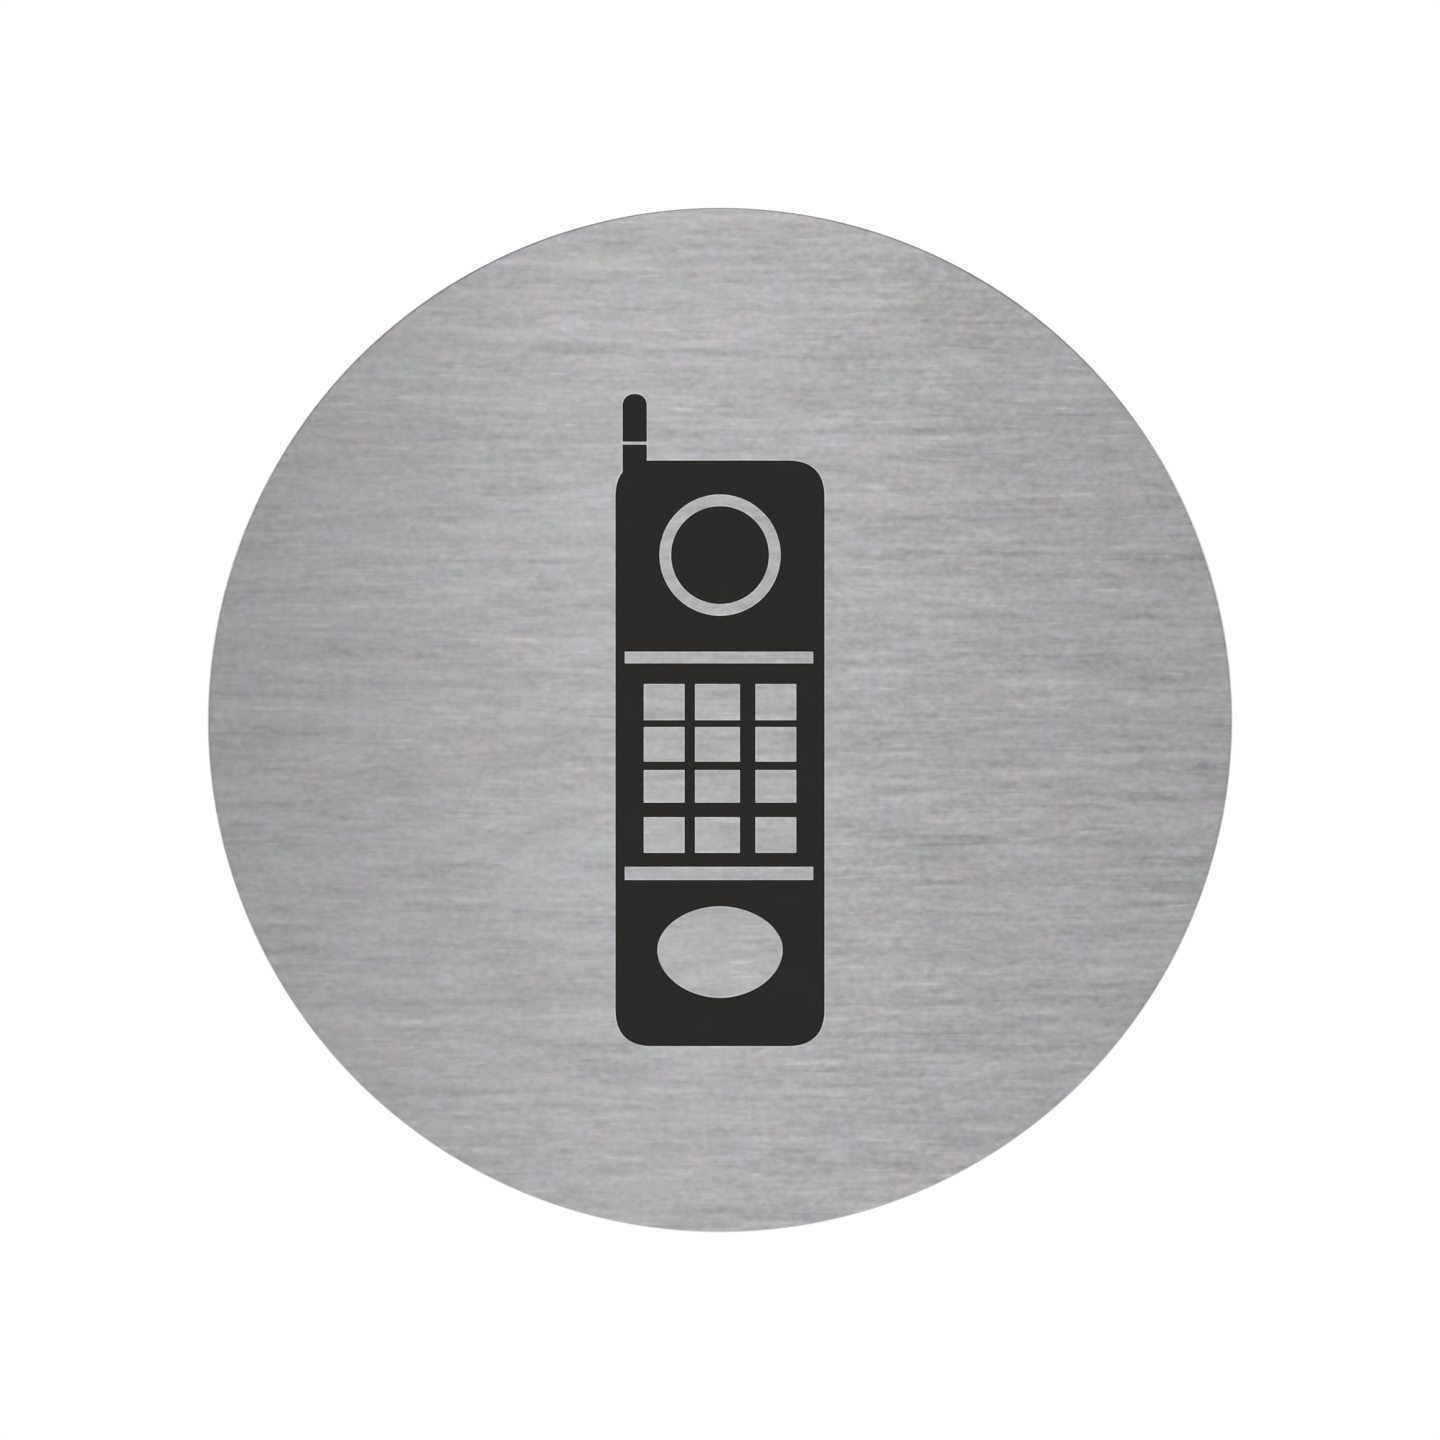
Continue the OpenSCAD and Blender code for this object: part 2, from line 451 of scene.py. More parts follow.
def finish_piece(piece, node):
    """Brings a piece to metres and sets it on the sign in place of its CAD node."""
    piece.scale = (1 / UNITS, 1 / UNITS, 1 / UNITS)
    apply_place(piece)
    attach(piece, "root")
    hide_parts(node)


# The symbol's layout, in millimetres

def stack(start, sizes, gaps):
    """Where pieces set side by side begin, from the first one's place, their sizes and their gaps."""
    places = [start]
    for size, gap in zip(sizes, gaps):
        places.append(places[-1] + size + gap)
    return places


def layout(sizes):
    """Sides, levels and rectangles of the handset symbol, worked out from the frame and the sizes."""
    low, high = box_mm("handset_enamel")
    ear_low, ear_high = box_mm("earpiece_enamel")
    ring_radius = (ear_high.x - ear_low.x) / 2 + sizes.ring_line
    ear_centre = ((ear_low.x + ear_high.x) / 2, (ear_low.z + ear_high.z) / 2)
    bar_left = low.x + sizes.bar_margins[0]
    bar_right = high.x - sizes.bar_margins[1]
    upper_bar = ear_centre[1] - ring_radius - sizes.ring_to_bar
    keys_top = upper_bar - sizes.bar_heights[0] - sizes.bar_to_keys
    columns = stack(low.x + sizes.key_margin, sizes.column_widths, sizes.column_gaps)
    rows = [keys_top - drop for drop in stack(0, sizes.row_heights, sizes.row_gaps)]
    lower_bar = rows[-1] - sizes.row_heights[-1] - sizes.keys_to_bar
    mouth = lower_bar - sizes.bar_heights[1] - sizes.bar_to_mouth - sizes.mouth_heights[0]
    right = columns[-1] + sizes.column_widths[-1] + sizes.key_margin
    bottom = mouth - sizes.mouth_heights[1] - sizes.bottom_margin
    if max(abs(right - high.x), abs(bottom - low.z)) > LEEWAY:
        raise RuntimeError("the symbol's sizes don't add up to the handset's width and height")
    bars = [
        (bar_left, upper_bar - sizes.bar_heights[0], bar_right, upper_bar),
        (bar_left, lower_bar - sizes.bar_heights[1], bar_right, lower_bar),
    ]
    keys = [
        (x, z - height, x + width, z)
        for x, width in zip(columns, sizes.column_widths)
        for z, height in zip(rows, sizes.row_heights)
    ]
    return SimpleNamespace(
        left=low.x, right=high.x, bottom=low.z, stub_top=high.z, top=high.z - sizes.antenna_stub,
        ear_centre=ear_centre, ring_radius=ring_radius, windows=bars + keys,
        mouth_centre=((low.x + high.x) / 2, mouth))


def depths():
    """The disc's face and back, the enamel's face and the etched ground; the least y is the nearest."""
    disc_low, disc_high = box_mm("disc")
    enamel_low, enamel_high = box_mm("handset_enamel")
    return SimpleNamespace(
        face=disc_low.y, back=disc_high.y, enamel=enamel_low.y, ground=enamel_high.y)


def mouthpiece(sizes, plan, depth):
    """The oval window, a little leaner than an ellipse: a flatter upper half above a rounder lower one."""
    across, middle = plan.mouth_centre
    half = sizes.mouth_width / 2
    oval = start_plate("mouthpiece", *square_around(plan.mouth_centre, half), depth)
    round_corners(oval, half, sizes.corner_steps, sizes.mouth_fullness)
    for upper, height in zip((True, False), sizes.mouth_heights):
        select_where(oval, "vertices", lambda vertex: (vertex.co.z > middle) == upper)
        bpy.ops.transform.resize(value=(1, 1, height / half), center_override=(across, depth, middle))
        bpy.ops.object.mode_set(mode="OBJECT")
    return merge_flats(oval)


def handset_outline(sizes, plan, front):
    """The handset's flat outline with the antenna's lower piece drawn up out of its round corner."""
    body = start_plate("handset", plan.left, plan.bottom, plan.right, plan.top, front)
    round_corners(body, sizes.corner_reach, sizes.corner_steps, sizes.corner_fullness)
    tip_low, tip_high = box_mm("antenna_tip_enamel")
    for side in (tip_low.x, tip_high.x):
        all_selected(body)
        bpy.ops.mesh.bisect(plane_co=(side, 0, 0), plane_no=(1, 0, 0))
        bpy.ops.object.mode_set(mode="OBJECT")

    def under_antenna(edge):
        """Whether an edge belongs to the stretch of the top out of which the antenna grows."""
        first, second = ends(body, edge)
        within = all(tip_low.x - TOUCH < end.x < tip_high.x + TOUCH for end in (first, second))
        upper = min(first.z, second.z) > plan.top - sizes.corner_reach
        return within and upper and abs(first.x - second.x) > TOUCH

    select_where(body, "edges", under_antenna)
    bpy.ops.mesh.extrude_region_move(TRANSFORM_OT_translate={"value": (0, 0, sizes.antenna_stub)})
    bpy.ops.transform.resize(value=(1, 1, 0), center_override=(0, front, plan.stub_top))
    bpy.ops.object.mode_set(mode="OBJECT")
    return merge_flats(body)


def handset_block(sizes, plan, front, ground):
    """The handset with the antenna's lower piece, less its windows, between two depths."""
    body = thicken(handset_outline(sizes, plan, front), ground - front)
    start = front - CLEAR
    plates = [start_plate("window", *sides, start) for sides in plan.windows]
    ring = square_around(plan.ear_centre, plan.ring_radius)
    plates.append(start_plate("ring", *ring, start, sizes.ring_steps))
    plates.append(mouthpiece(sizes, plan, start))
    return cut(body, join(*[thicken(plate, ground - front + 2 * CLEAR) for plate in plates]))


def antenna_tip_block(sizes, front, ground):
    """The antenna's upper piece, round at its tip, between two depths."""
    low, high = box_mm("antenna_tip_enamel")
    tip = start_plate("antenna_tip", low.x, low.z, high.x, high.z, front)
    round_corners(
        tip, sizes.antenna_tip_radius, sizes.tip_steps,
        test=lambda vertex: vertex.co.z > (low.z + high.z) / 2)
    return thicken(tip, ground - front)


def earpiece_block(sizes, front, ground):
    """The round earpiece inside the steel ring, between two depths."""
    low, high = box_mm("earpiece_enamel")
    ear = start_plate("earpiece", low.x, low.z, high.x, high.z, front, sizes.ring_steps)
    return thicken(ear, ground - front)


def symbol_blocks(sizes, front, ground):
    """The symbol's three fields between two depths, by their CAD nodes: to be cut away or filled in."""
    plan = layout(sizes)
    return {
        "handset_enamel": handset_block(sizes, plan, front, ground),
        "antenna_tip_enamel": antenna_tip_block(sizes, front, ground),
        "earpiece_enamel": earpiece_block(sizes, front, ground),
    }


# Materials

def new_material(name):
    """An empty node material with its shader and its object coordinates."""
    material = bpy.data.materials.new(name)
    material.use_nodes = True
    nodes = material.node_tree.nodes
    nodes.clear()
    output = nodes.new("ShaderNodeOutputMaterial")
    shader = nodes.new("ShaderNodeBsdfPrincipled")
    material.node_tree.links.new(shader.outputs["BSDF"], output.inputs["Surface"])
    place = nodes.new("ShaderNodeTexCoord")
    return material, shader, place.outputs["Object"]


def feed(owner, value, entry):
    """Links a socket to an input, or sets the input to a value."""
    if isinstance(value, bpy.types.NodeSocket):
        owner.node_tree.links.new(value, entry)
    elif entry.type == "RGBA":
        entry.default_value = (*value, 1.0)
    else:
        entry.default_value = value


def in_cells(owner, place, cell, shift=0.0, turn=0.0):
    """Coordinates with one unit to a cell of this size along x, y and z, in millimetres."""
    mapping = owner.node_tree.nodes.new("ShaderNodeMapping")
    mapping.inputs["Location"].default_value = [shift * way for way in SHIFT_WAY]
    mapping.inputs["Rotation"].default_value = (0.0, turn, 0.0)
    mapping.inputs["Scale"].default_value = [UNITS / size for size in cell]
    feed(owner, place, mapping.inputs["Vector"])
    return mapping.outputs["Vector"]


def noise(owner, place, cell, shift, detail=1.0, roughness=0.5, distortion=0.0, turn=0.0):
    """Noise whose grains have this size along x, y and z, in millimetres, turned in the face's plane."""
    texture = owner.node_tree.nodes.new("ShaderNodeTexNoise")
    texture.inputs["Scale"].default_value = 1.0
    texture.inputs["Detail"].default_value = detail
    texture.inputs["Roughness"].default_value = roughness
    texture.inputs["Distortion"].default_value = distortion
    feed(owner, in_cells(owner, place, cell, shift, turn), texture.inputs["Vector"])
    return texture.outputs["Fac"]


def cell_distance(owner, place, cell):
    """The distance from the middle of the nearest of many round cells of this size in millimetres."""
    texture = owner.node_tree.nodes.new("ShaderNodeTexVoronoi")
    texture.inputs["Scale"].default_value = 1.0
    feed(owner, in_cells(owner, place, (cell, cell, cell)), texture.inputs["Vector"])
    return texture.outputs["Distance"]


def calculate(owner, operation, first, second):
    """A Math node on two values, each a socket or a number."""
    node = owner.node_tree.nodes.new("ShaderNodeMath")
    node.operation = operation
    for value, entry in zip((first, second), node.inputs):
        feed(owner, value, entry)
    return node.outputs["Value"]


def weigh(owner, *layers):
    """Adds up noises, each taken from its middle value and times its weight."""
    total = None
    for value, weight in layers:
        centred = calculate(owner, "SUBTRACT", value, 0.5)
        layer = calculate(owner, "MULTIPLY", centred, weight)
        total = layer if total is None else calculate(owner, "ADD", total, layer)
    return total


def around(owner, middle, value, weight):
    """A middle value with a varying value, times its weight, added to it."""
    return calculate(owner, "ADD", calculate(owner, "MULTIPLY", value, weight), middle)


def peaks(owner, value, start, sign=1.0):
    """What of a noise rises above a start, or with a sign of -1 falls below it."""
    above = calculate(owner, "SUBTRACT", value, start)
    return calculate(owner, "MAXIMUM", calculate(owner, "MULTIPLY", above, sign), 0.0)


def blend_along(owner, place, axis, span, levels):
    """A level that passes smoothly from the first to the second between two places on an axis."""
    nodes = owner.node_tree.nodes
    split = nodes.new("ShaderNodeSeparateXYZ")
    feed(owner, place, split.inputs["Vector"])
    blend = nodes.new("ShaderNodeMapRange")
    blend.interpolation_type = "SMOOTHSTEP"
    feed(owner, split.outputs[axis], blend.inputs["Value"])
    for side, end, level in zip(("Min", "Max"), span, levels):
        blend.inputs[f"From {side}"].default_value = end
        blend.inputs[f"To {side}"].default_value = level
    return blend.outputs["Result"]


def mix(owner, factor, first, second, kind="Color", blend="MIX"):
    """Mixes two colours or, with the kind Float, two values; each input is a socket or a value."""
    node = owner.node_tree.nodes.new("ShaderNodeMix")
    node.data_type = {"Color": "RGBA", "Float": "FLOAT"}[kind]
    node.blend_type = blend
    node.clamp_factor = False
    entries = {entry.identifier: entry for entry in node.inputs}
    for name, value in (("Factor_Float", factor), (f"A_{kind}", first), (f"B_{kind}", second)):
        feed(owner, value, entries[name])
    return next(result for result in node.outputs if result.identifier == f"Result_{kind}")


def ray_kinds(owner):
    """Whether a ray comes from the camera, and whether metal mirrors it or glass passes it: 0 or 1 each."""
    rays = owner.node_tree.nodes.new("ShaderNodeLightPath")
    mirrored = calculate(
        owner, "MAXIMUM", rays.outputs["Is Glossy Ray"], rays.outputs["Is Transmission Ray"])
    return rays.outputs["Is Camera Ray"], mirrored


def tint(colour, *shares):
    """A colour with its red, green and blue each times its own share."""
    return [part * share for part, share in zip(colour, shares)]


def dress(owner, shader, colour, shade, roughness, metallic=0.0):
    """Gives a shader its colour, times a shade that varies, and its roughness, and makes it metal or not."""
    scaled = owner.node_tree.nodes.new("ShaderNodeVectorMath")
    scaled.operation = "SCALE"
    feed(owner, colour, scaled.inputs["Vector"])
    feed(owner, shade, scaled.inputs["Scale"])
    feed(owner, scaled.outputs["Vector"], shader.inputs["Base Color"])
    feed(owner, roughness, shader.inputs["Roughness"])
    shader.inputs["Metallic"].default_value = metallic


def bump(owner, shader, height, distance):
    """Feeds a height into the shader's normal; distance is its full height, in millimetres."""
    node = owner.node_tree.nodes.new("ShaderNodeBump")
    node.inputs["Distance"].default_value = distance / UNITS
    feed(owner, height, node.inputs["Height"])
    feed(owner, node.outputs["Normal"], shader.inputs["Normal"])


def follow_grain(owner, shader):
    """Sets the shader's tangent along the grain that the UV map holds."""
    tangent = owner.node_tree.nodes.new("ShaderNodeTangent")
    tangent.direction_type = "UV_MAP"
    tangent.uv_map = GRAIN_MAP
    feed(owner, tangent.outputs["Tangent"], shader.inputs["Tangent"])


def brushed_face(finish, name, gain):
    """Steel brushed along x: ragged streaks, glints and dark scratches, with faint tints in patches; a gain
    above 1 gives a lighter copy, a painted highlight.
    """
    material, shader, place = new_material(name)

    def drawn(length, height, through=3.0, **form):
        """Noise drawn out along the brushing, by its grains' length, height and depth in millimetres."""
        return noise(material, place, (length, through, height), **form)

    longest = drawn(26.0, 0.9, shift=83.0, distortion=0.3)
    long_streaks = drawn(9.0, 0.78, shift=3.1, distortion=0.4)
    short_streaks = drawn(3.4, 0.72, shift=11.7, distortion=0.3)
    blotch = drawn(1.2, 0.72, shift=23.9, distortion=0.4)
    grit = drawn(0.7, 0.55, shift=97.0, distortion=0.3, turn=0.35)
    patches = drawn(16.0, 7.0, shift=5.3, detail=2.0)
    glints = peaks(material, drawn(4.6, 0.55, shift=61.0, distortion=0.15), start=0.62)
    scratches = peaks(material, drawn(7.0, 0.5, shift=73.0, distortion=0.2), start=0.37, sign=-1.0)
    streaks = weigh(
        material, (longest, 0.6), (long_streaks, 0.75), (short_streaks, 0.7), (blotch, 0.6),
        (grit, 0.75), (patches, 0.25))
    marks = calculate(
        material, "SUBTRACT", calculate(material, "MULTIPLY", glints, finish.glint_strength),
        calculate(material, "MULTIPLY", scratches, finish.scratch_strength))
    grain = calculate(material, "ADD", streaks, marks)
    contrast = blend_along(material, place, "X", finish.grain_ends, finish.grain_contrast)

    # A gain above 1 makes the lighter copy that paints a highlight along the etching
    steel = finish.steel * gain
    more, less = 1 + finish.warmth, 1 - finish.warmth
    warm_patches = drawn(3.8, 3.4, shift=31.0, detail=1.5)
    base = mix(material, warm_patches, tint(steel, more, 1, less), tint(steel, less, 1, more))
    more, less = 1 + finish.blush, 1 - finish.blush
    pink_patches = drawn(3.5, 3.3, shift=47.0, detail=1.5)
    blushed = mix(material, pink_patches, (more, less, more), (less, more, less))
    tinted = mix(material, 1.0, base, blushed, blend="MULTIPLY")

    shade = around(material, 1.0, grain, contrast)
    roughness = around(material, finish.steel_roughness, streaks, -finish.streak_gloss)
    dress(material, shader, tinted, shade, roughness, metallic=1.0)
    bump(material, shader, grain, distance=0.002)
    shader.inputs["Anisotropic"].default_value = 0.96
    shader.inputs["Anisotropic Rotation"].default_value = 0.25
    follow_grain(material, shader)
    return material


def cut_steel(finish, name, share, roughness):
    """Cut or etched metal with short marks through its thickness, in a share of the steel's colour."""
    material, shader, place = new_material(name)
    marks = noise(material, place, (0.25, 0.9, 0.25), shift=2.0, detail=2.0)
    grain = weigh(material, (marks, 1.0))
    dress(
        material, shader, finish.steel * share, around(material, 1.0, grain, 0.35),
        around(material, roughness, grain, 0.3), metallic=1.0)
    bump(material, shader, marks, distance=0.006)
    return material


def mill_back(finish):
    """The disc's back: dull rolled sheet with a soft grain the other way and faint blotches."""
    material, shader, place = new_material("mill_back")
    rolled = noise(material, place, (0.3, 3.0, 6.0), shift=8.0, detail=2.0)
    blotch = noise(material, place, (6.0, 3.0, 9.0), shift=4.0, detail=3.0)
    grain = weigh(material, (rolled, 0.5), (blotch, 0.5))
    dress(
        material, shader, finish.steel * 0.95, around(material, 1.0, grain, 0.3),
        around(material, 0.38, grain, 0.25), metallic=1.0)
    bump(material, shader, rolled, distance=0.002)
    return material


def satin_enamel(finish, name, share):
    """Black enamel with a faint orange peel and a slightly uneven sheen; a share of its colour."""
    material, shader, place = new_material(name)
    peel = noise(material, place, (0.6, 0.6, 0.6), shift=6.0)
    haze = weigh(material, (noise(material, place, (7.0, 3.0, 5.0), shift=9.0, detail=2.0), 1.0))
    dress(
        material, shader, finish.enamel * share, around(material, 1.0, haze, 0.15),
        around(material, 0.5, haze, 0.15))
    bump(material, shader, peel, distance=0.003)
    shader.inputs["Specular IOR Level"].default_value = 0.18
    return material


def foam_side(finish):
    """The foam pad's cut side, with small cells."""
    material, shader, place = new_material("foam_side")
    cells = cell_distance(material, place, 0.16)
    dress(material, shader, finish.foam, around(material, 1.1, cells, -0.35), roughness=0.8)
    bump(material, shader, cells, distance=0.05)
    return material


def foam_face(finish):
    """The pad's back: fine closed cells under a thin film of adhesive."""
    material, shader, place = new_material("foam_face")
    cells = cell_distance(material, place, 0.55)
    pores = noise(material, place, (0.3, 0.3, 0.3), shift=1.0, detail=2.0, roughness=0.6)
    film = noise(material, place, (14.0, 14.0, 11.0), shift=7.0)
    uneven = weigh(material, (pores, 0.25), (film, 0.08))
    shade = calculate(material, "ADD", around(material, 1.08, cells, -0.16), uneven)
    dress(material, shader, finish.foam, shade, around(material, 0.55, uneven, 0.5))
    bump(material, shader, cells, distance=0.04)
    return material


# Pieces

def grain_map(piece):
    """A flat UV map of the face, so that u runs along the brushing; the rim takes u around the disc."""
    layer = piece.data.uv_layers.new(name=GRAIN_MAP)
    for polygon in piece.data.polygons:
        side = abs(polygon.normal.y) < UPRIGHT
        middle = polygon.center.normalized()
        sideways = Vector((-middle.z, 0, middle.x))
        for corner in polygon.loop_indices:
            place = piece.data.vertices[piece.data.loops[corner].vertex_index].co
            u = place.dot(sideways) if side else place.x
            v = place.y if side else place.z
            layer.data[corner].uv = (u / MAP_WIDTH + 0.5, v / MAP_WIDTH + 0.5)


def in_face(polygon, depth):
    """Whether a polygon lies in the disc's face."""
    return polygon.normal.y < -FLAT and abs(polygon.center.y - depth.face) < TOUCH


def from_rim(disc, place):
    """How far a place of the disc lies inside its rim."""
    return disc.dimensions.x / 2 - Vector((place.x, place.z)).length


class SIGN_OT_disc(bpy.types.Operator):
    """Models the steel disc with its etched face and broken edges"""

    bl_idname = "sign.disc"
    bl_label = "Steel Disc"

    def execute(self, context):
        sizes = in_mm(context.scene.sign_sizes)
        depth = depths()
        sides = square_around((0, 0), box_mm("disc")[1].x)
        disc = start_plate("steel_disc", *sides, depth.face, sizes.circle_steps)
        thicken(disc, depth.back - depth.face)
        round_edges(disc, (depth.face, depth.back), sizes.rim_radius, steps=5)
        cut(disc, join(*symbol_blocks(sizes, depth.face - CLEAR, depth.ground).values()))
        merge_flats(disc)
        self.paint_highlight_strips(disc, sizes, depth)
        self.soften_etching(disc, sizes, depth)
        self.paint(disc, context.scene.sign_finish, depth)
        smooth(disc)
        grain_map(disc)
        finish_piece(disc, "disc")
        return {"FINISHED"}

    def paint_highlight_strips(self, disc, sizes, depth):
        """Parts off the narrow strips of the face that run along the etching and the rim; those along the
        etching get a painted highlight, the rest stays brushed.
        """
        inset_faces(disc, lambda polygon: in_face(polygon, depth), [(sizes.burnish, 0.0)])
        for polygon in disc.data.polygons:
            # Strips along the etching, away from the rim, take the painted highlight
            highlight_strip = in_face(polygon, depth) and not polygon.select
            inner = from_rim(disc, polygon.center) > RIM_BAND
            polygon.material_index = PAINTED_HIGHLIGHT if highlight_strip and inner else BRUSHED

    def soften_etching(self, disc, sizes, depth):
        """Bevels the edges where the face meets the etched walls."""
        flat_sides = {}
        for polygon in disc.data.polygons:
            for key in polygon.edge_keys:
                flat_sides.setdefault(key, []).append(abs(polygon.normal.y) > FLAT)

        def meets_wall(edge):
            """Whether an edge lies in the face, away from the rim, between the face and a wall."""
            at_wall = sorted(flat_sides[edge.key]) == [False, True]
            inner = all(from_rim(disc, end) > 2 * sizes.rim_radius for end in ends(disc, edge))
            return at_wall and inner and lies_at(disc, edge, depth.face)

        select_where(disc, "edges", meets_wall)
        bpy.ops.mesh.bevel(
            offset=sizes.etched_edge, segments=3, affect="EDGES", clamp_overlap=True)
        bpy.ops.object.mode_set(mode="OBJECT")

    def paint(self, disc, finish, depth):
        """Gives the face, its strips of painted highlight, the broken edges, the back and the wall their
        materials.
        """
        materials = (
            brushed_face(finish, "brushed_face", gain=1.0),
            # The brushed steel painted lighter: a painted highlight along the etching
            brushed_face(finish, "burnished_edge", gain=finish.painted_highlight_gain),
            cut_steel(finish, "broken_edges", share=1.05, roughness=0.36),
            mill_back(finish),
            cut_steel(finish, "cut_wall", share=0.8, roughness=0.42),
        )
        for material in materials:
            disc.data.materials.append(material)
        for polygon in disc.data.polygons:
            if polygon.normal.y > FLAT:
                polygon.material_index = BACK
            elif abs(polygon.normal.y) < UPRIGHT and from_rim(disc, polygon.center) < RIM_BAND:
                polygon.material_index = WALL
            elif polygon.normal.y > -FLAT or polygon.center.y > depth.face + BRUSHED_DEPTH:
                polygon.material_index = BROKEN


class SIGN_OT_enamel(bpy.types.Operator):
    """Models the three fields of black enamel that fill the etching"""

    bl_idname = "sign.enamel"
    bl_label = "Enamel"

    def execute(self, context):
        sizes = in_mm(context.scene.sign_sizes)
        finish = context.scene.sign_finish
        depth = depths()
        fields = satin_enamel(finish, "satin_enamel", share=1.0)
        # A copy of the enamel at half its colour: painted shade along the enamel's edge
        rims = satin_enamel(finish, "enamel_rim", share=0.5)
        for node, block in symbol_blocks(sizes, depth.enamel, depth.ground).items():
            block.name = node.replace("_enamel", "_filling")
            merge_flats(block)
            self.dish(block, sizes)
            block.data.materials.append(fields)
            block.data.materials.append(rims)
            smooth(block, angle=60)
            finish_piece(block, node)
        return {"FINISHED"}

    def dish(self, block, sizes):
        """Leaves a thin rim where the enamel climbs the wall, and sinks the rest; the rim takes the darker
        copy, painted shade along the edge.
        """
        rims = [
            (sizes.meniscus_width * share, sizes.meniscus_height * (1 - share))
            for share in MENISCUS_SHARES
        ]
        inset_faces(block, lambda polygon: polygon.normal.y < -FLAT, rims)
        for polygon in block.data.polygons:
            polygon.material_index = 0 if polygon.select else 1


class SIGN_OT_pad(bpy.types.Operator):
    """Models the round foam pad on the back"""

    bl_idname = "sign.pad"
    bl_label = "Foam Pad"

    def execute(self, context):
        sizes = in_mm(context.scene.sign_sizes)
        finish = context.scene.sign_finish
        low, high = box_mm("foam_pad")
        pad = start_plate("adhesive_pad", *square_around((0, 0), high.x), low.y, sizes.circle_steps)
        thicken(pad, high.y - low.y)
        self.draw_in(pad, (low.y + high.y) / 2, 1 - sizes.pad_waist / high.x)
        round_edges(pad, (low.y, high.y), sizes.pad_edge, steps=3)
        pad.data.materials.append(foam_face(finish))
        pad.data.materials.append(foam_side(finish))
        for polygon in pad.data.polygons:
            polygon.material_index = 0 if abs(polygon.normal.y) > FLAT else 1
        smooth(pad)
        finish_piece(pad, "foam_pad")
        return {"FINISHED"}

    def draw_in(self, pad, middle, share):
        """Draws the pad's side in, at its middle depth, to a share of its radius."""
        all_selected(pad)
        bpy.ops.mesh.bisect(plane_co=(0, middle, 0), plane_no=(0, 1, 0))
        bpy.ops.transform.resize(value=(share, 1, share), center_override=(0, middle, 0))
        bpy.ops.object.mode_set(mode="OBJECT")


def add_lamp(name, place, size, power):
    """A soft rectangular lamp that looks at the sign and isn't seen itself."""
    select_only()
    aim = (-Vector(place)).to_track_quat("-Z", "Y").to_euler()
    bpy.ops.object.light_add(type="AREA", location=place, rotation=aim)
    lamp = bpy.context.object
    lamp.name = name
    lamp.data.shape = "RECTANGLE"
    lamp.data.size, lamp.data.size_y = size
    lamp.data.energy = power
    lamp.visible_camera = False


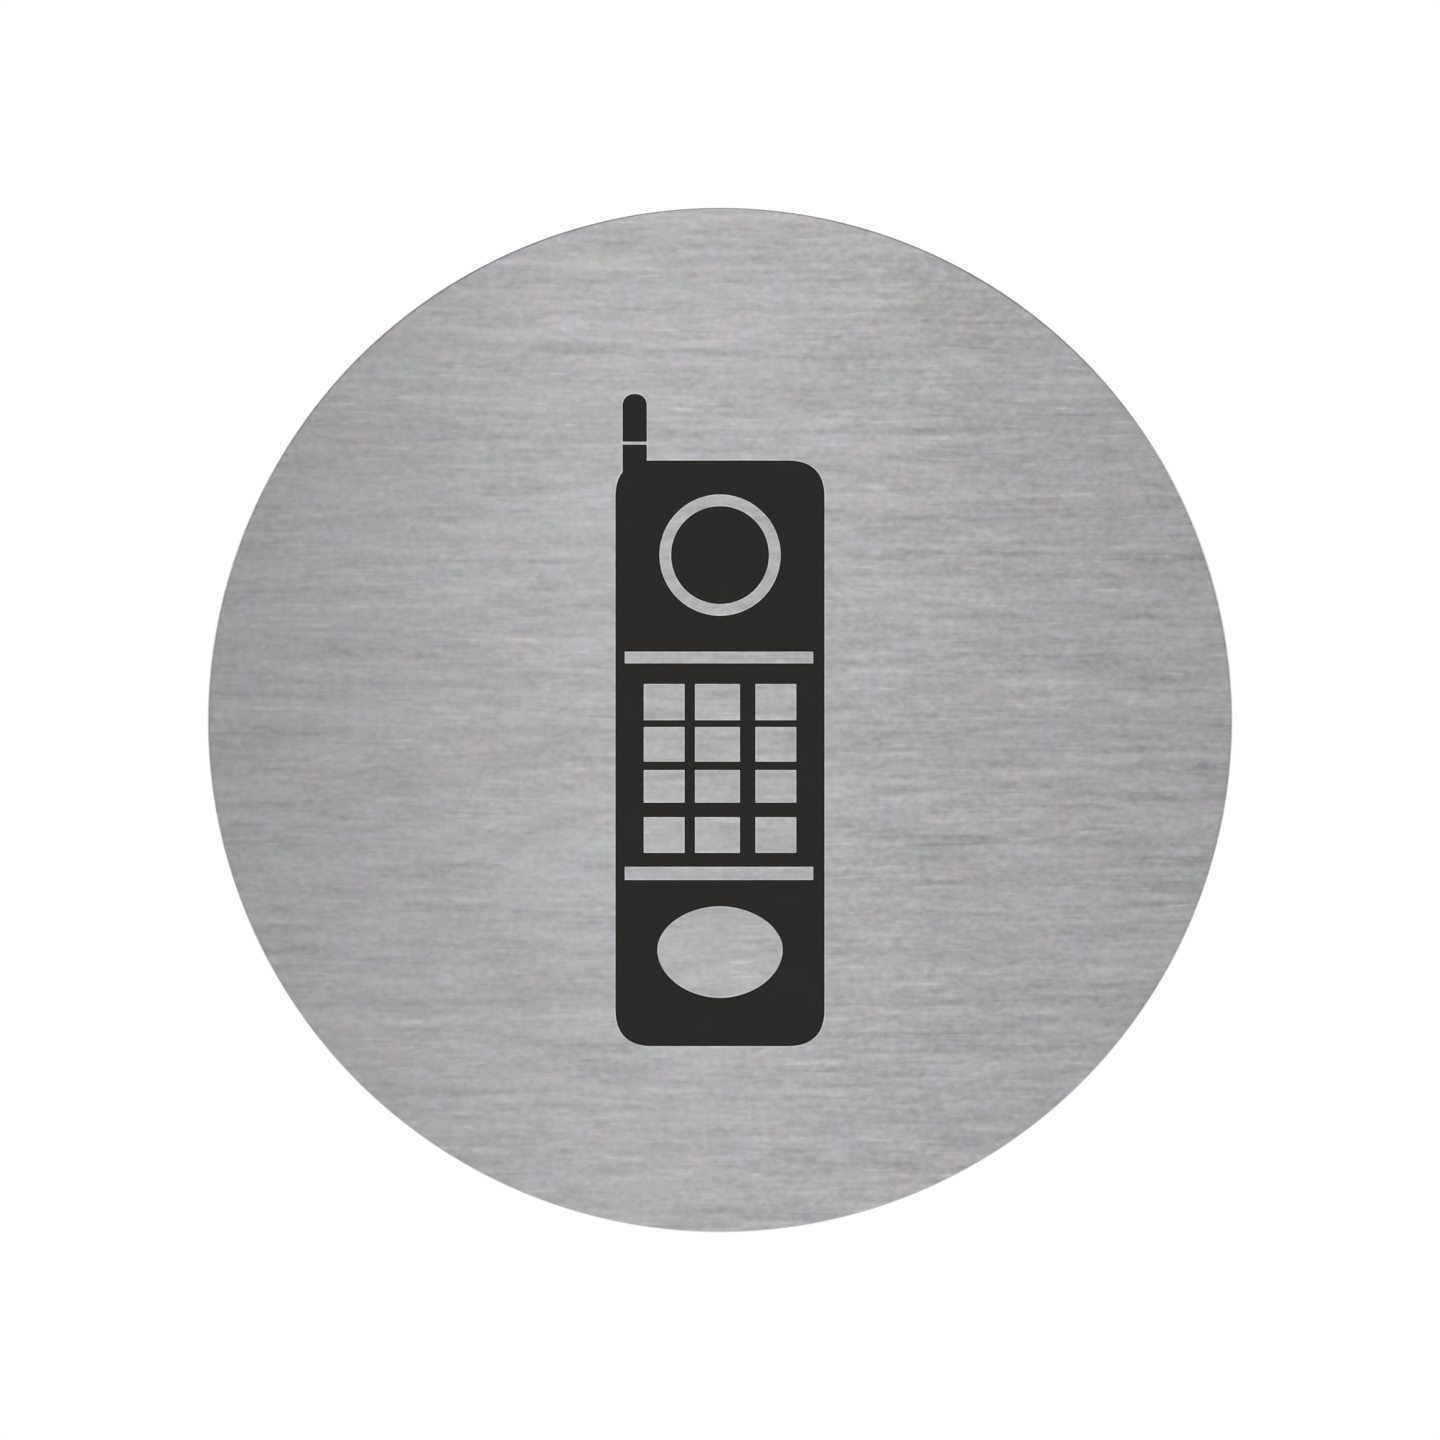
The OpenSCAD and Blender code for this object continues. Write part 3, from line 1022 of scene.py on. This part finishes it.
class SIGN_OT_stage(bpy.types.Operator):
    """Sets up the camera, the lamps, the room's light and the pale floor"""

    bl_idname = "sign.stage"
    bl_label = "Stage"

    def execute(self, context):
        stage = context.scene.sign_stage
        self.camera(context, stage)
        self.room(context, stage)
        add_lamp("band_lamp", stage.band_place, stage.band_size, stage.band_power)
        add_lamp("fill_lamp", stage.fill_place, stage.fill_size, stage.fill_power)
        x, y, z = stage.side_place
        add_lamp("left_lamp", (-x, y, z), stage.soft_size, stage.side_power)
        add_lamp("right_lamp", (x, y, z), stage.soft_size, stage.side_power)
        add_lamp("back_lamp", stage.back_place, stage.soft_size, stage.back_power)
        self.floor(stage)
        context.scene.view_settings.view_transform = "Standard"
        return {"FINISHED"}

    def camera(self, context, stage):
        """A long lens straight before the face, so far off that the picture has its width there."""
        select_only()
        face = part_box("disc")[0].y
        distance = stage.picture_width * stage.lens / stage.sensor_width
        bpy.ops.object.camera_add(location=(0, face - distance, 0), rotation=(pi / 2, 0, 0))
        camera = context.object
        camera.data.lens = stage.lens
        camera.data.sensor_width = stage.sensor_width
        camera.data.clip_start = 0.01
        context.scene.camera = camera

    def room(self, context, stage):
        """White to the camera, and to metal and glass that mirror what lies behind the sign."""
        world = bpy.data.worlds.new("room")
        world.use_nodes = True
        context.scene.world = world
        nodes = world.node_tree.nodes
        nodes.clear()
        output = nodes.new("ShaderNodeOutputWorld")
        background = nodes.new("ShaderNodeBackground")
        feed(world, (1.0, 1.0, 1.0), background.inputs["Color"])
        feed(world, background.outputs["Background"], output.inputs["Surface"])
        place = nodes.new("ShaderNodeTexCoord")
        mirrored = blend_along(
            world, place.outputs["Generated"], "Y", FRONT_TO_BACK, (stage.front_level, 1.0))
        camera_ray, mirror_ray = ray_kinds(world)
        level = mix(world, mirror_ray, stage.room_level, mirrored, kind="Float")
        feed(world, calculate(world, "MAXIMUM", camera_ray, level), background.inputs["Strength"])

    def floor(self, stage):
        """A pale floor that looks white but keeps the sign's shadow."""
        select_only()
        bpy.ops.mesh.primitive_grid_add(
            x_subdivisions=8, y_subdivisions=8, size=stage.floor_size, location=(0, 0, -stage.floor_drop))
        floor = apply_place(bpy.context.object)
        floor.name = "floor"
        material, shader, _ = new_material("pale_floor")
        feed(material, (0.9, 0.9, 0.9), shader.inputs["Base Color"])
        shader.inputs["Roughness"].default_value = 0.9
        shader.inputs["Specular IOR Level"].default_value = 0.0
        feed(material, (1.0, 1.0, 1.0), shader.inputs["Emission Color"])
        seen = calculate(material, "MAXIMUM", *ray_kinds(material))
        glow = calculate(material, "MULTIPLY", seen, stage.floor_glow)
        feed(material, glow, shader.inputs["Emission Strength"])
        material.cycles.emission_sampling = "NONE"
        floor.data.materials.append(material)


class SIGN_PT_panel(bpy.types.Panel):
    """Lists the steps and the sizes of the door sign"""

    bl_label = "Telephone Door Sign"
    bl_idname = "SIGN_PT_panel"
    bl_space_type = "VIEW_3D"
    bl_region_type = "UI"
    bl_category = "Door Sign"

    def draw(self, context):
        for operator in (SIGN_OT_disc, SIGN_OT_enamel, SIGN_OT_pad, SIGN_OT_stage):
            self.layout.operator(operator.bl_idname)
        for name in ("sign_sizes", "sign_finish", "sign_stage"):
            group = getattr(context.scene, name)
            column = self.layout.column(align=True)
            for size in group.__annotations__:
                column.prop(group, size)


CLASSES = (
    SignSizes, SignFinish, StageSettings,
    SIGN_OT_disc, SIGN_OT_enamel, SIGN_OT_pad, SIGN_OT_stage, SIGN_PT_panel,
)


def register():
    """Adds the classes and the scene's three groups of settings."""
    for cls in CLASSES:
        bpy.utils.register_class(cls)
    bpy.types.Scene.sign_sizes = PointerProperty(type=SignSizes)
    bpy.types.Scene.sign_finish = PointerProperty(type=SignFinish)
    bpy.types.Scene.sign_stage = PointerProperty(type=StageSettings)


def unregister():
    """Removes the groups of settings and the classes."""
    del bpy.types.Scene.sign_stage
    del bpy.types.Scene.sign_finish
    del bpy.types.Scene.sign_sizes
    for cls in reversed(CLASSES):
        bpy.utils.unregister_class(cls)


def main():
    """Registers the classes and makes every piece."""
    register()
    bpy.ops.sign.disc()
    bpy.ops.sign.enamel()
    bpy.ops.sign.pad()
    bpy.ops.sign.stage()


if __name__ == "__main__":
    main()
